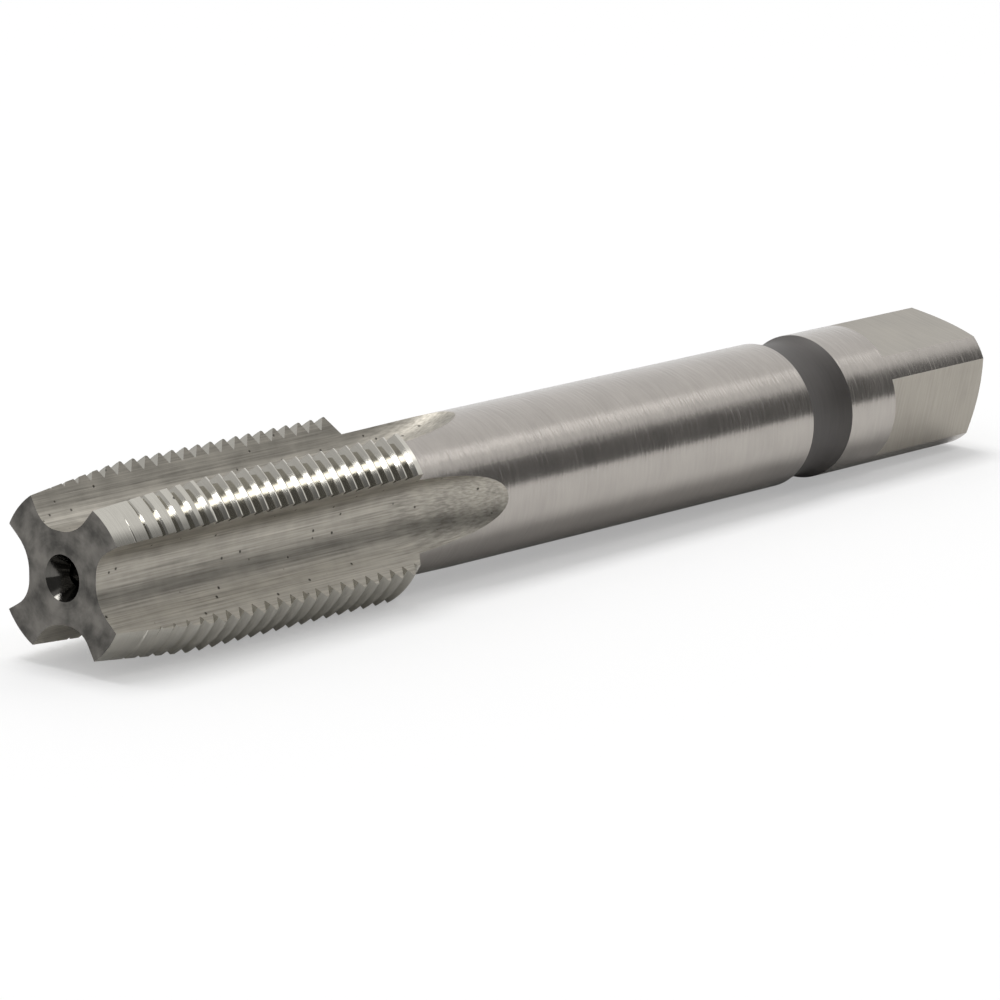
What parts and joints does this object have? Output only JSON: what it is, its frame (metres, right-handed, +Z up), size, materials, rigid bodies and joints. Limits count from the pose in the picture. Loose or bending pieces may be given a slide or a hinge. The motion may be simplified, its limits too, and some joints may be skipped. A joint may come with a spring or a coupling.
{
  "type": "thread tap",
  "caption": "Straight-fluted hand tap for a fine left-hand thread, with taper lead, plain shank, neck groove and square drive.",
  "frame": {"origin": "middle of the tip face, on the axis", "axes": "+X along the axis from the cutting tip to the driven end; +Z up as the tap lies, with one flute facing straight down"},
  "size_m": [0.095, 0.0122, 0.0122],
  "materials": {
    "tool_steel": "bright ground high-speed steel"
  },
  "bodies": {
    "root": {"tap": "tool_steel"}
  },
  "joints": []
}
